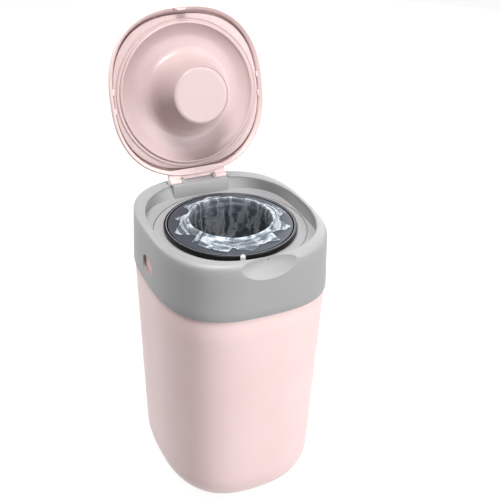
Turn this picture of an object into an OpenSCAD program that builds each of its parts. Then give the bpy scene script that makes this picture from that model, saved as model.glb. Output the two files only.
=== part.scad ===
// Nappy bin with a twist-to-seal refill cassette, drawn with its lid open.
// Millimetres, +Z up, front towards -Y, hinge towards +Y.
// The origin is the middle of the rubber base pad, on the floor.

/* [Outline] */
// Height of the collar's rim above the floor
rim_z = 414; // [395:1:430]
// Width of the rim between opening and outer face, at the sides
rim_side = 9; // [8:0.5:12]
// How much deeper than the opening the collar is, per side
rim_end = 16; // [15:0.5:19]
// Squareness of the collar seen from above: 2 is an ellipse, higher is squarer
collar_square = 2.9; // [2.7:0.05:3.2]
// Wall thickness of the large mouldings
wall = 2.6; // [2.2:0.1:3]
// Clearance between mouldings that slide into each other
fit = 0.5; // [0.35:0.05:0.7]

/* [Tub] */
// How much narrower the tub is at the floor than the collar, per side
taper_side = 8; // [5:0.5:12]
// How much less deep the tub is at the floor than the collar, per side
taper_end = 9.5; // [6:0.5:14]
// Squareness of the tub at the floor
base_square = 2.6; // [2.4:0.05:2.9]
// Radius of the rounding between wall and floor
base_round = 57; // [45:1:62]
// How far the tub wall stands inside the collar's lower edge
tub_step = 1.5; // [1:0.1:2]
// Half width of the rubber pad under the tub
pad_x = 47; // [40:1:50]
// Half depth of the rubber pad
pad_y = 61; // [50:1:64]
// Thickness of the rubber pad
pad_t = 3; // [2.5:0.1:3.5]

/* [Collar] */
// Height of the collar
collar_h = 80; // [76:1:86]
// How much wider the collar is at its lower edge, per side
collar_flare = 2.2; // [1:0.1:3]
// Height of the rounded shoulder
shoulder = 8; // [6:0.5:9]
// How much wider the opening is than the deck, per side
mouth_side = 3; // [2:0.5:4]
// How much deeper the opening is than the deck, per side
mouth_end = 13.5; // [11:0.5:15]
// Squareness of the opening inside the rim
mouth_square = 2.4; // [2.3:0.05:2.6]
// Place of the opening's middle along Y
mouth_cy = -5; // [-7:0.5:-3]
// Depth of the deck below the rim
deck_depth = 18; // [17:0.5:20]
// Thickness of the deck
deck_t = 5; // [4.6:0.1:6]

/* [Turntable] */
// Place of the turning axis along Y
axis_y = -7.7; // [-9:0.1:-6.5]
// Width of the turntable's border round the cassette
table_border = 13; // [11:0.5:13.5]
// Thickness of the turntable's flange
table_t = 2.1; // [1.8:0.1:2.4]
// How far the turntable's bearing collar stands inside its flange
bearing_in = 6.3; // [5.5:0.1:8]
// Running gap between turntable and deck
table_gap = 0.3; // [0.25:0.05:0.4]
// Number of ratchet teeth round the turntable
teeth = 36; // [24:1:48]

/* [Cassette] */
// Outer radius of the cassette's skirt
skirt_r = 89; // [88:0.1:90]
// Depth of the cassette's rim below the collar's rim
cassette_drop = 11; // [10:0.5:12]
// How far the film box stands inside the skirt
box_in = 9.5; // [8.5:0.5:12]
// Height of the film box below the skirt
box_h = 60; // [50:1:64]
// Radial room for the stored film, between box and core
film_room = 17.5; // [15.5:0.5:18]
// How far the cap's inner lip stands inside the core's outer face
lip_in = 5; // [4:0.5:7]
// How far the cap's inner lip reaches down
lip_depth = 16; // [12:0.5:20]

/* [Lid] */
// How far the lid's edge lies inside the collar's outer face, at the sides
lid_in = 4; // [3:0.5:6]
// How much less deep than the opening the lid is, per side
lid_end = 0.5; // [-0.5:0.5:2]
// Squareness of the lid
lid_square = 2.44; // [2.35:0.02:2.6]
// Place of the lid's middle along Y when closed
lid_cy = -13; // [-14:0.5:-12]
// Height of the lid above the rim
lid_h = 22; // [20:0.5:26]
// How far the hinge axis lies in front of the opening's rear edge
hinge_in = 1.5; // [-1.5:0.5:3.5]
// How far the lid is open as drawn, from closed
lid_open = 106; // [0:1:108]
// How far the ring ridge inside the lid stands inside the turntable's edge
ridge_in = 6; // [4:0.5:10]
// Radial room between the cap's lip and the plunger's base
plunger_room = 7; // [6:0.5:11]
// How much the plunger narrows towards its end, in radius
plunger_taper = 13; // [12:0.5:17]
// Depth of the plunger's end below the rim
plunger_depth = 50; // [40:1:52]

/* [Hinge] */
// Radius of the hinge knuckles
knuckle_r = 4.6; // [4:0.1:5]
// Radius of the hinge pins
pin_r = 2; // [1.5:0.1:2.2]
// Radial running clearance of the pins in the lid arms
pin_play = 0.05; // [0.02:0.01:0.1]
// Distance from the middle to the centre of each lid arm
arm_x = 34; // [32:0.5:36]
// Width of each lid arm
arm_w = 16; // [12:0.5:18]

/* [Front scoop] */
// Thickness of the rim left between the finger scoop and the opening
scoop_lip = 1.5; // [1.2:0.1:4]
// Radius of the scoop's section, seen from the side
scoop_arc = 39; // [34:1:42]
// Radius of the scoop seen from above
scoop_sweep = 106; // [90:1:140]
// Width of the catch under the lid's front edge
catch_w = 15; // [10:0.5:18]
// Radius of the catch hole in the scoop
catch_hole_r = 1.6; // [1.2:0.1:1.8]

/* [Release tabs] */
// Half length of each side window in the collar
window_y = 17; // [14:0.5:18]
// Half height of each side window
window_z = 12; // [10:0.5:13]
// Place of the windows' middle along Y
window_cy = -7; // [-9:0.5:-5]
// Height of the windows' middle above the collar's lower edge
window_up = 28.5; // [26:0.5:30]
// Travel of each release tab
tab_travel = 2.5; // [2:0.1:2.8]
// Gap round each tab in its window in the tub
tab_gap = 0.6; // [0.4:0.1:0.9]

/* [Hidden] */

$fn = 96;
eps = 0.01;
// Points round each squared outline
ring_n = 64;

// Round sizes, outwards from the cassette's skirt
box_r = skirt_r - box_in;
core_r = box_r - film_room;
lip_r = core_r - lip_in;
table_r = skirt_r + table_border;
bearing_r = table_r - bearing_in;
recess_r = table_r + 0.6;

// Squared sizes, outwards from the turntable's recess
foot_x = recess_r + 1.4;
foot_y = recess_r + 0.4;
foot_square = 3;
mouth_x = foot_x + mouth_side;
mouth_y = foot_y + mouth_end;
collar_x = mouth_x + rim_side;
collar_y = mouth_y + rim_end;
base_x = collar_x - taper_side;
base_y = collar_y - taper_end;

// Heights
collar_z = rim_z - collar_h;
deck_z = rim_z - deck_depth;
deck_under = deck_z - deck_t;
shoulder_z = rim_z - shoulder;
seam = 0.5;
ledge_z = collar_z - seam;
neck_z = deck_under - 3;
cap_z = rim_z - cassette_drop;

// Tub
tub_low = 1;
base_steps = 6;
rounding_in = 0.9;
neck_in = wall + fit;
neck_lead = 1.2;
pad_gap = 0.3;
pad_sunk = pad_t - tub_low;

// Deck and turntable
recess_depth = table_t + table_gap;
hole_r = bearing_r + table_gap;
deck_inner_r = hole_r - 6;
bearing_t = 2.5;
clip_t = 2.4;
clip_groove = 1.2;
bearing_low = deck_under - table_gap - clip_t;
well_t = 2;
well_gap = 1.2;
well_r = box_r + well_gap + well_t;
skirt_low = deck_z + 1;
box_low = skirt_low - box_h;
well_floor_z = box_low - 0.5;
well_low = well_floor_z - well_t;
well_hole_r = core_r - 2;
tooth_h = 2.5;
tooth_z = 8;
peg_r = 3.4;
peg_stem_r = 2.2;
peg_h = 12;
peg_root = 4;
peg_at = skirt_r + peg_r + 0.6;
peg_angle = 256.5;

// Carrier bucket and gripper under the deck
carrier_r = hole_r + 5;
carrier_t = 2;
carrier_flange_r = carrier_r + 7;
flange_t = 2;
carrier_floor_top = well_low - 2;
carrier_low = carrier_floor_top - carrier_t;
carrier_hole_r = core_r - 12;
flange_screws = 6;
flange_screw_r = (carrier_r + carrier_flange_r) / 2;
clamp_screw_count = 4;
screw_r = 1.25;
screw_play = 0.15;
gripper_r = carrier_hole_r + 10;
clamp_screw_r = gripper_r - 3;
gripper_t = 2;
gripper_hole_r = 24;
gripper_drop = 15;
gripper_slits = 16;
slit_w = 2;
clamp_t = 2.5;
clamp_bore_r = carrier_hole_r + 1;
clamp_low = carrier_low - gripper_t - clamp_t;

// Cutter under the carrier
rail_x = 36;
rail_y = 9;
rail_z = 10;
rail_end = 4;
rail_wall = 2;
slot_y = 3;
knob_x = 9;
knob_gap = 0.4;
cutter_y = axis_y - gripper_r - rail_y - 11;
cutter_low = carrier_low - rail_z;
cutter_x = -rail_x + rail_end + knob_x / 2 + 2;

// Cassette's walls, the cap's seat in its rim, and the film packed in it
box_t = 2;
cap_t = 1.2;
seat_r = skirt_r - 6;
seat_drop = 3;
lip_round = 5;
core_top = cap_z - 7.5;
pack_gap = 0.6;

// Film
film_t = 0.9;
film_n = 48;
film_edge_r = box_r - 2.5;
film_hole_r = lip_r - 2.5;
film_neck_r = 15;
film_low = carrier_low - gripper_drop - 26;

// Lid
lid_x = collar_x - lid_in;
lid_y = mouth_y - lid_end;
ridge_r = table_r - ridge_in;
plunger_base_r = lip_r - plunger_room;
plunger_end_r = plunger_base_r - plunger_taper;
lid_wall = wall - 0.2;
lid_edge_z = 0.5;
panel_in = 6.5;
panel_in_y = panel_in + 4;
panel_x = lid_x - panel_in;
panel_y = lid_y - panel_in_y;
panel_z = 6;
panel_t = 2;
upstand = 3;
rib_z = panel_z + panel_t + upstand;
ridge_z = 2;
bowl_z = 14;
ridge_cy = lid_cy + 1.5;
gutter_wall = 2;
seal_x = ridge_r + 2.2;
hinge_y = mouth_cy + mouth_y - hinge_in;
hinge_z = rim_z;
strip_z = 2.5;
strip_t = 2;
strip_y0 = lid_cy + panel_y + 0.6;
strip_y1 = hinge_y - knuckle_r - 0.6;
strip_y2 = hinge_y - strip_z;

// Hinge
arm_gap = 0.4;
boss_w = 4;
arm_out = arm_x + arm_w / 2;
pin_half = arm_w / 2 + arm_gap + boss_w;
strip_mid = arm_x - pin_half - 0.6;
ledge_x = arm_out - 1;
ledge_y = 11;
ledge_z0 = 5.5;
pocket_back = 8.6;

// Front scoop and catch
scoop_y = mouth_cy - mouth_y - scoop_lip;
catch_t = 2;
catch_gap = 0.7;
catch_seat = 0.25;
catch_y = scoop_y - catch_gap;
catch_drop = 5;
catch_hole_z = rim_z - 3;

// Release tabs
tab_gap_x = 0.8;
tab_face = collar_half(collar_z + window_up)[0] - wall - tab_gap_x;
tab_stop = tab_face - wall - 0.9;
tab_flange = 2;
tab_flange_t = 1.5;
pocket_t = 2;
pocket_room = 1.5;
spring_len = tab_travel + 0.9;
pocket_x = tab_stop - tab_flange_t - spring_len - pocket_t;
spring_wire = 0.7;
spring_r = 3;
spring_turns = 2.5;
spring_ring = 12;
spring_sides = 6;

// Helper functions for squared outlines
function spow(v, p) = sign(v) * pow(abs(v), p);
function outline(a, b, n, cy = 0) = [for (i = [0:ring_n - 1])
    let (t = 360 * i / ring_n)
    [a * spow(cos(t), 2 / n), cy + b * spow(sin(t), 2 / n)]];
function at(points, z) = [for (p = points) [p[0], p[1], z]];
function mix(p, q, s) = [for (i = [0:len(p) - 1]) p[i] + (q[i] - p[i]) * s];
function flat(lists) = [for (l = lists) for (p = l) p];
function circle_points(r, cy = 0) = outline(r, r, 2, cy);

// Half sizes and squareness of the collar's outer face at a height
function collar_half(z) = let (k = max(0, (shoulder_z - z) / (collar_h - shoulder)))
    [collar_x + collar_flare * k, collar_y + collar_flare * k];
function collar_ring(z, inset = 0) = let (h = collar_half(z))
    at(outline(h[0] - inset, h[1] - inset, collar_square), z);

// Half sizes and squareness of the tub's outer face at a height
function tub_half(z) = let (k = (ledge_z - z) / ledge_z, top = collar_half(collar_z))
    [(top[0] - tub_step) * (1 - k) + base_x * k,
     (top[1] - tub_step) * (1 - k) + base_y * k,
     collar_square * (1 - k) + base_square * k];
function tub_ring(z, inset = 0, lift = 0) = let (h = tub_half(z))
    at(outline(h[0] - inset, h[1] - inset, h[2]), z + lift);

// A closed skin through rings of equal length. With loop it is a tube that
// closes on itself, without loop its first and last rings are filled.
module skin(rings, loop = false) {
    n = len(rings[0]);
    m = len(rings);
    last = loop ? m - 1 : m - 2;
    sides = [for (i = [0:last]) for (j = [0:n - 1])
        let (a = i * n + j, b = i * n + (j + 1) % n,
             c = ((i + 1) % m) * n + j, d = ((i + 1) % m) * n + (j + 1) % n)
        each [[a, c, d], [a, d, b]]];
    ends = loop ? [] : [[for (j = [0:n - 1]) j], [for (j = [n - 1:-1:0]) (m - 1) * n + j]];
    polyhedron(points = flat(rings), faces = concat(sides, ends), convexity = 8);
}

// A tube swept along a helix whose axis is Z
module coil(r, wire, height, turns) {
    steps = round(turns * spring_ring);
    rings = [for (i = [0:steps])
        let (t = 360 * turns * i / steps, z = wire + (height - 2 * wire) * i / steps)
        [for (j = [0:spring_sides - 1])
            let (u = -360 * j / spring_sides, q = r + wire * cos(u))
            [q * cos(t), q * sin(t), z + wire * sin(u)]]];
    skin(rings);
}

module about_axis() {
    translate([0, axis_y, 0]) children();
}

// Copies spread evenly on a circle about the turning axis
module around(count, r) {
    about_axis()
        for (i = [0:count - 1])
            rotate([0, 0, 360 / count * (i + 0.5)])
                translate([r, 0, 0])
                    children();
}

module at_flange_screws() {
    around(flange_screws, flange_screw_r) children();
}

module at_clamp_screws() {
    around(clamp_screw_count, clamp_screw_r) children();
}

// The side window as a bar along X, for the windows and what fills them
module window_bar(grow, x0, x1) {
    translate([0, window_cy, collar_z + window_up])
        rotate([90, 0, 90])
            translate([0, 0, x0])
                linear_extrude(height = x1 - x0)
                    polygon(outline(window_y + grow, window_z + grow, 3));
}

// Tub

module tub_body() {
    outer = [for (i = [base_steps:-1:0])
        let (t = 90 * i / base_steps)
        tub_ring(tub_low + base_round * (1 - sin(t)), rounding_in * base_round * (1 - cos(t)))];
    inner = [for (i = [0:base_steps])
        let (t = 90 * i / base_steps)
        tub_ring(tub_low + base_round * (1 - sin(t)),
            rounding_in * base_round * (1 - cos(t)) + wall * cos(t), wall * sin(t))];
    straight = ledge_z - tub_low - base_round;
    levels = [for (k = [1:3]) tub_low + base_round + straight * k / 3];
    skin(concat(
        outer,
        [for (z = levels) tub_ring(z)],
        [collar_ring(ledge_z, neck_in)],
        [collar_ring(neck_z - neck_lead, neck_in), collar_ring(neck_z, neck_in + neck_lead)],
        [collar_ring(neck_z, neck_in + wall - 0.6), collar_ring(neck_z - 1, neck_in + wall)],
        [collar_ring(ledge_z - 2, neck_in + wall)],
        [for (k = [2, 1]) tub_ring(levels[k - 1], wall)],
        inner));
}

// Box behind each window in the tub, which holds the tab and its spring
module tab_pocket(side) {
    grow = tab_flange + pocket_room + pocket_t;
    mirror([side < 0 ? 1 : 0, 0, 0])
        translate([pocket_x, window_cy - window_y - grow, collar_z + window_up - window_z - grow])
            cube([tab_face - 1.5 - pocket_x, 2 * (window_y + grow), 2 * (window_z + grow)]);
}

module tab_space(side) {
    grow = tab_flange + pocket_room;
    floor_x = pocket_x + pocket_t;
    mirror([side < 0 ? 1 : 0, 0, 0]) {
        window_bar(tab_gap, floor_x, collar_x + 8);
        translate([floor_x, window_cy - window_y - grow, collar_z + window_up - window_z - grow])
            cube([tab_stop + 0.5 - floor_x, 2 * (window_y + grow), 2 * (window_z + grow)]);
    }
}

module tub() {
    color("#f6dcda")
        difference() {
            union() {
                tub_body();
                for (side = [-1, 1]) tab_pocket(side);
            }
            for (side = [-1, 1]) tab_space(side);
            translate([0, 0, -1])
                linear_extrude(height = pad_sunk + 1)
                    polygon(outline(pad_x + pad_gap, pad_y + pad_gap, base_square));
        }
}

module base_pad() {
    groove = 1.2;
    groove_depth = 0.8;
    color("#8e8e90")
        difference() {
            linear_extrude(height = pad_sunk)
                polygon(outline(pad_x, pad_y, base_square));
            for (r = [20:8:pad_x - 10])
                translate([0, 0, -1])
                    difference() {
                        cylinder(r = r + groove, h = 1 + groove_depth);
                        translate([0, 0, -1]) cylinder(r = r - groove, h = 3 + groove_depth);
                    }
        }
}

// Release tabs with their springs

module release_tab(side) {
    rib_half = window_y - 5;
    rib_step = window_z / 3;
    color("#f3d2d0")
        mirror([side < 0 ? 1 : 0, 0, 0])
            difference() {
                union() {
                    window_bar(-0.4, tab_stop - tab_flange_t, tab_face);
                    window_bar(tab_flange, tab_stop - tab_flange_t, tab_stop);
                }
                for (k = [-2:2])
                    translate([tab_face, window_cy - rib_half, collar_z + window_up + rib_step * k])
                        rotate([-90, 0, 0])
                            cylinder(r = 0.5, h = 2 * rib_half, $fn = 24);
            }
}

module release_spring(side) {
    color("#b9bcc0")
        mirror([side < 0 ? 1 : 0, 0, 0])
            translate([pocket_x + pocket_t, window_cy, collar_z + window_up])
                rotate([0, 90, 0])
                    coil(spring_r, spring_wire / 2, spring_len, spring_turns);
}

module release_tab_left() { release_tab(-1); }
module release_tab_right() { release_tab(1); }
module release_spring_left() { release_spring(-1); }
module release_spring_right() { release_spring(1); }

// Collar

module collar_skin() {
    rim_out = outline(collar_x, collar_y, collar_square);
    rim_in = outline(mouth_x, mouth_y, mouth_square, mouth_cy);
    foot = outline(foot_x, foot_y, foot_square, axis_y);
    inner_wall = rim_z - deck_z;
    // share of the way from the outer face to the mouth, and drop below the rim
    rim_steps = [[0, shoulder], [0.07, 0.58 * shoulder], [0.2, 0.3 * shoulder],
        [0.36, 0.13 * shoulder], [0.5, 0.08 * shoulder], [0.54, 0], [0.9, 0], [1, 1]];
    wall_steps = [[0.1, 0.45], [0.42, 0.8], [1, 1]];
    under = [collar_half(shoulder_z)[0] - wall, collar_half(shoulder_z)[1] - wall];
    skin(concat(
        [collar_ring(collar_z, 0.6), collar_ring(collar_z + 0.6)],
        [for (s = rim_steps) at(mix(rim_out, rim_in, s[0]), rim_z - s[1])],
        [for (s = wall_steps) at(mix(rim_in, foot, s[0]), rim_z - inner_wall * s[1])],
        [at(circle_points(deck_inner_r, axis_y), deck_z)],
        [at(circle_points(deck_inner_r, axis_y), deck_under)],
        [at(outline(under[0], under[1], collar_square), deck_under)],
        [collar_ring(collar_z + 0.6, wall), collar_ring(collar_z, wall - 0.6)]), loop = true);
}

// Hollow behind the rim, open below, that keeps the wall even. It stops short
// of the hinge at the back and of the scoop at the front.
module rim_hollow() {
    solid_x = ledge_x + 9;
    translate([0, 0, deck_under - 1])
        linear_extrude(height = deck_t + deck_depth - 7)
            difference() {
                polygon(outline(collar_x - wall, collar_y - wall, collar_square));
                polygon(outline(mouth_x + wall, mouth_y + wall, mouth_square, mouth_cy));
                translate([-solid_x, hinge_y - 14]) square([2 * solid_x, 40]);
                translate([-solid_x, scoop_y - 40]) square([2 * solid_x, 60]);
            }
}

// Scoop for the fingertips under the lid's front edge
module finger_scoop() {
    translate([0, scoop_y - scoop_sweep, rim_z])
        rotate_extrude()
            union() {
                translate([scoop_sweep - scoop_arc, 0]) circle(r = scoop_arc);
                translate([scoop_sweep - scoop_arc, 0]) square([scoop_arc, 5]);
            }
}

// Thicker wall behind the foot of the scoop
module scoop_backing() {
    translate([-ledge_x, scoop_y - 8, neck_z + 0.6])
        cube([2 * ledge_x, 12, deck_under - neck_z]);
}

module hinge_ledge() {
    translate([-ledge_x, hinge_y - ledge_y, rim_z - ledge_z0])
        cube([2 * ledge_x, 2 * ledge_y - 2, ledge_z0]);
    for (side = [-1, 1])
        for (x = [arm_x - arm_w / 2 - arm_gap - boss_w, arm_out + arm_gap])
            translate([side * (x + boss_w / 2) - boss_w / 2, hinge_y, hinge_z])
                rotate([0, 90, 0])
                    cylinder(r = knuckle_r - 0.2, h = boss_w);
}

module hinge_cuts() {
    for (side = [-1, 1]) {
        translate([side * arm_x - arm_w / 2 - arm_gap, hinge_y - knuckle_r - 1,
                hinge_z - knuckle_r - 0.6])
            cube([arm_w + 2 * arm_gap, knuckle_r + 1 + pocket_back, knuckle_r + 8]);
        translate([side * arm_x - pin_half, hinge_y, hinge_z])
            rotate([0, 90, 0])
                cylinder(r = pin_r, h = 2 * pin_half);
    }
}

// Round hole for the catch's nib in the steep face of the scoop
module catch_hole() {
    translate([0, scoop_y + scoop_lip + 2, catch_hole_z])
        rotate([90, 0, 0])
            cylinder(r = catch_hole_r, h = 12, $fn = 32);
}

module collar() {
    color("#c9c9ca")
        difference() {
            union() {
                collar_skin();
                hinge_ledge();
                scoop_backing();
            }
            rim_hollow();
            about_axis() {
                translate([0, 0, deck_under - 1]) cylinder(r = hole_r, h = deck_t + 2);
                translate([0, 0, deck_z - recess_depth]) cylinder(r = recess_r, h = 5);
            }
            finger_scoop();
            hinge_cuts();
            for (side = [0, 1])
                mirror([side, 0, 0])
                    window_bar(0, collar_x - 12, collar_x + 12);
            catch_hole();
            at_flange_screws()
                translate([0, 0, deck_under - 1]) cylinder(r = screw_r, h = 4.2, $fn = 24);
        }
}

// Carrier bucket, gripper and cutter, which hang from the deck

module carrier() {
    color("#bdbdbf")
        difference() {
            about_axis()
                rotate_extrude()
                    polygon([
                        [carrier_hole_r, carrier_low], [carrier_r - 4, carrier_low],
                        [carrier_r, carrier_low + 4], [carrier_r, deck_under - flange_t],
                        [carrier_flange_r, deck_under - flange_t], [carrier_flange_r, deck_under],
                        [carrier_r - carrier_t, deck_under],
                        [carrier_r - carrier_t, carrier_floor_top + 3.2],
                        [carrier_r - carrier_t - 3.2, carrier_floor_top],
                        [carrier_hole_r, carrier_floor_top]]);
            at_flange_screws()
                translate([0, 0, deck_under - flange_t - 1])
                    cylinder(r = screw_r + screw_play, h = flange_t + 2, $fn = 24);
            at_clamp_screws()
                translate([0, 0, carrier_low - 1])
                    cylinder(r = screw_r, h = carrier_t + 2, $fn = 24);
        }
}

// A pan head screw, its head down and its thread up from z = 0
module screw(length) {
    cylinder(r = screw_r, h = length, $fn = 24);
    translate([0, 0, -1.8])
        difference() {
            union() {
                translate([0, 0, 0.7]) cylinder(r = 2.4, h = 1.1, $fn = 32);
                cylinder(r1 = 1.7, r2 = 2.4, h = 0.7, $fn = 32);
            }
            translate([-0.3, -1.4, -0.1]) cube([0.6, 2.8, 0.8]);
            translate([-1.4, -0.3, -0.1]) cube([2.8, 0.6, 0.8]);
        }
}

module carrier_screws() {
    color("#a9abae")
        at_flange_screws()
            translate([0, 0, deck_under - flange_t])
                screw(flange_t + 3);
}

module gripper_fingers() {
    top = carrier_low;
    tip = top - gripper_drop;
    color("#5b5e63")
        difference() {
            about_axis()
                rotate_extrude()
                    polygon([
                        [gripper_r, top], [carrier_hole_r - 3, top],
                        [gripper_hole_r, tip], [gripper_hole_r, tip - 1.8],
                        [gripper_hole_r + 1.5, tip - 1.8],
                        [carrier_hole_r, top - gripper_t], [gripper_r, top - gripper_t]]);
            about_axis()
                for (i = [0:gripper_slits - 1])
                    rotate([0, 0, 360 / gripper_slits * i])
                        translate([gripper_hole_r - 4, -slit_w / 2, tip - 4])
                            cube([carrier_hole_r - gripper_hole_r, slit_w, gripper_drop + 8]);
            at_clamp_screws()
                translate([0, 0, top - gripper_t - 1])
                    cylinder(r = screw_r + screw_play, h = gripper_t + 2, $fn = 24);
        }
}

module gripper_clamp() {
    color("#bdbdbf")
        difference() {
            about_axis()
                difference() {
                    translate([0, 0, clamp_low]) cylinder(r = gripper_r + 1, h = clamp_t);
                    translate([0, 0, clamp_low - 1]) cylinder(r = clamp_bore_r, h = clamp_t + 2);
                }
            at_clamp_screws()
                translate([0, 0, clamp_low - 1])
                    cylinder(r = screw_r + screw_play, h = clamp_t + 2, $fn = 24);
        }
}

module clamp_screws() {
    color("#a9abae")
        at_clamp_screws()
            translate([0, 0, clamp_low])
                screw(clamp_t + gripper_t + carrier_t - 0.5);
}

// Sprung pawl on the carrier's floor, which clicks over the turntable's teeth
module click_pawl() {
    tip_r = well_r + tooth_h + 0.35;
    arm_l = 24;
    pawl_h = tooth_z + 0.5;
    color("#e4e4e4")
        about_axis() {
            translate([tip_r, -2, carrier_floor_top])
                cube([2, 4, pawl_h]);
            translate([tip_r, -2, carrier_floor_top])
                cube([7.4, arm_l + 2, 1.6]);
            translate([tip_r + 2, arm_l - 6, carrier_floor_top])
                cube([5, 6, 6]);
            translate([tip_r + 0.8, -2, carrier_floor_top + 2.2])
                cube([1.2, arm_l, pawl_h - 2.2]);
        }
}

module cutter_rail() {
    inner_y = rail_y - rail_wall;
    color("#bdbdbf")
        translate([0, cutter_y, cutter_low])
            difference() {
                translate([-rail_x, -rail_y, 0]) cube([2 * rail_x, 2 * rail_y, rail_z]);
                translate([-rail_x + rail_end, -inner_y, 2.2])
                    cube([2 * (rail_x - rail_end), 2 * inner_y, rail_z - 3.7]);
                translate([-rail_x + rail_end, -slot_y, -1])
                    cube([2 * (rail_x - rail_end), 2 * slot_y, 4]);
                // film slot across the front of the rail
                translate([-rail_x - 1, -rail_y - 1, 4.2])
                    cube([2 * rail_x - 10, rail_wall + 2, 1.4]);
            }
}

module cutter_slider() {
    shoe_y = rail_y - rail_wall - knob_gap;
    stem_y = slot_y - knob_gap;
    color("#d6605e")
        translate([cutter_x, cutter_y, cutter_low])
            difference() {
                union() {
                    translate([-knob_x / 2, -shoe_y, 2.6]) cube([knob_x, 2 * shoe_y, 1.2]);
                    translate([-knob_x / 2, -stem_y, -4]) cube([knob_x, 2 * stem_y, 7]);
                }
                for (k = [-1:1])
                    translate([k * 2.4, 0, -4])
                        rotate([90, 0, 0])
                            cylinder(r = 0.5, h = 20, center = true, $fn = 24);
            }
}

module cutter_blade() {
    color("#cfd2d6")
        translate([cutter_x, cutter_y - rail_y + rail_wall + knob_gap, cutter_low + 3.8])
            linear_extrude(height = 0.5)
                polygon([[-3, 0], [3.5, 0], [3.5, 3], [0, 6], [-3, 6]]);
}

// Turntable

module turntable() {
    rim_low = deck_z - table_t;
    well_in = well_r - well_t;
    color("#d3d3d4")
        about_axis() {
            difference() {
                rotate_extrude()
                    polygon([
                        [well_hole_r, well_low], [well_r, well_low],
                        [well_r, rim_low - 2], [bearing_r - bearing_t, rim_low - 2],
                        [bearing_r - bearing_t, bearing_low], [bearing_r - clip_groove, bearing_low],
                        [bearing_r - clip_groove, bearing_low + clip_t],
                        [bearing_r, bearing_low + clip_t], [bearing_r, rim_low],
                        [table_r, rim_low], [table_r, deck_z - 0.8],
                        [table_r - 0.8, deck_z], [well_in + 1, deck_z], [well_in, deck_z - 1],
                        [well_in, well_floor_z], [well_hole_r, well_floor_z]]);
                rotate([0, 0, peg_angle])
                    translate([peg_at, 0, deck_z - peg_root - 2])
                        cylinder(r = peg_stem_r, h = peg_root + 4, $fn = 32);
            }
            // ratchet teeth
            translate([0, 0, well_low])
                linear_extrude(height = tooth_z)
                    difference() {
                        polygon([for (i = [0:teeth - 1])
                            let (t = 360 * i / teeth)
                            each [[(well_r + tooth_h) * cos(t), (well_r + tooth_h) * sin(t)],
                                  [(well_r + 0.3) * cos(t + 2), (well_r + 0.3) * sin(t + 2)]]]);
                        circle(r = well_r - 0.5);
                    }
        }
}

module turntable_clip_ring() {
    clip_r = hole_r + 2.4;
    color("#e9e9e9")
        about_axis()
            translate([0, 0, bearing_low])
                difference() {
                    cylinder(r = clip_r, h = clip_t);
                    translate([0, 0, -1]) cylinder(r = bearing_r - clip_groove, h = clip_t + 2);
                    rotate([0, 0, 90])
                        translate([bearing_r - 6, -3, -1]) cube([20, 6, clip_t + 2]);
                }
}

// Domed peg beside the cassette's skirt
module locating_peg() {
    color("#dcdcdc")
        about_axis()
            rotate([0, 0, peg_angle])
                translate([peg_at, 0, deck_z]) {
                    rotate_extrude($fn = 48)
                        intersection() {
                            union() {
                                square([peg_r, peg_h - peg_r]);
                                translate([0, peg_h - peg_r]) circle(r = peg_r);
                            }
                            square([peg_r, peg_h]);
                        }
                    translate([0, 0, -peg_root])
                        cylinder(r = peg_stem_r, h = peg_root + eps, $fn = 32);
                }
}

// Cassette

module cassette_box() {
    color("#1b1c1f")
        about_axis()
            rotate_extrude()
                polygon([
                    [core_r, box_low + box_t], [core_r, core_top], [core_r - 1.2, core_top],
                    [core_r - box_t, core_top - 1.5],
                    [core_r - box_t, box_low], [box_r, box_low], [box_r, skirt_low + 1.2],
                    [skirt_r - box_t, skirt_low + 1.2], [skirt_r - box_t, skirt_low],
                    [skirt_r, skirt_low], [skirt_r, cap_z - 1.4],
                    [skirt_r - 0.5, cap_z - 0.5], [skirt_r - 1.5, cap_z],
                    [seat_r + 1.8, cap_z], [seat_r + 1, cap_z - 0.7], [seat_r + 0.4, cap_z - box_t],
                    [box_r - box_t, cap_z - seat_drop], [box_r - box_t, box_low + box_t]]);
}

module cassette_cap() {
    under = cap_z - seat_drop + 0.4;
    color("#4a4f57")
        about_axis()
            rotate_extrude()
                polygon([
                    [lip_r, cap_z - lip_depth], [lip_r + cap_t, cap_z - lip_depth],
                    [lip_r + cap_t + 0.2, cap_z - lip_round], [lip_r + 4, under],
                    [box_r - 1, under], [box_r, under + 1], [seat_r, under + 1.2],
                    [seat_r, cap_z - 0.4], [seat_r - 0.8, cap_z], [lip_r + lip_round + 3, cap_z],
                    [lip_r + 4.4, cap_z - 0.6], [lip_r + 1.6, cap_z - 2.4],
                    [lip_r + 0.3, cap_z - lip_round]]);
}

module film_pack() {
    pleats = 9;
    inner = core_r + pack_gap;
    outer = box_r - box_t - pack_gap;
    low = box_low + box_t + pack_gap;
    pitch = (core_top - 4.5 - low) / pleats;
    color("#d9e2e6")
        about_axis()
            rotate_extrude()
                polygon(concat(
                    [[inner, low]],
                    [for (i = [0:pleats - 1]) each [
                        [outer, low + pitch * i + 0.3], [outer, low + pitch * (i + 1) - 0.9],
                        [outer - 1.6, low + pitch * (i + 1) - 0.6],
                        [outer - 1.6, low + pitch * (i + 1)]]],
                    [[inner, low + pitch * pleats]]));
}

// Film: a crinkled ring over the cap, a funnel and a twisted neck

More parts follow.
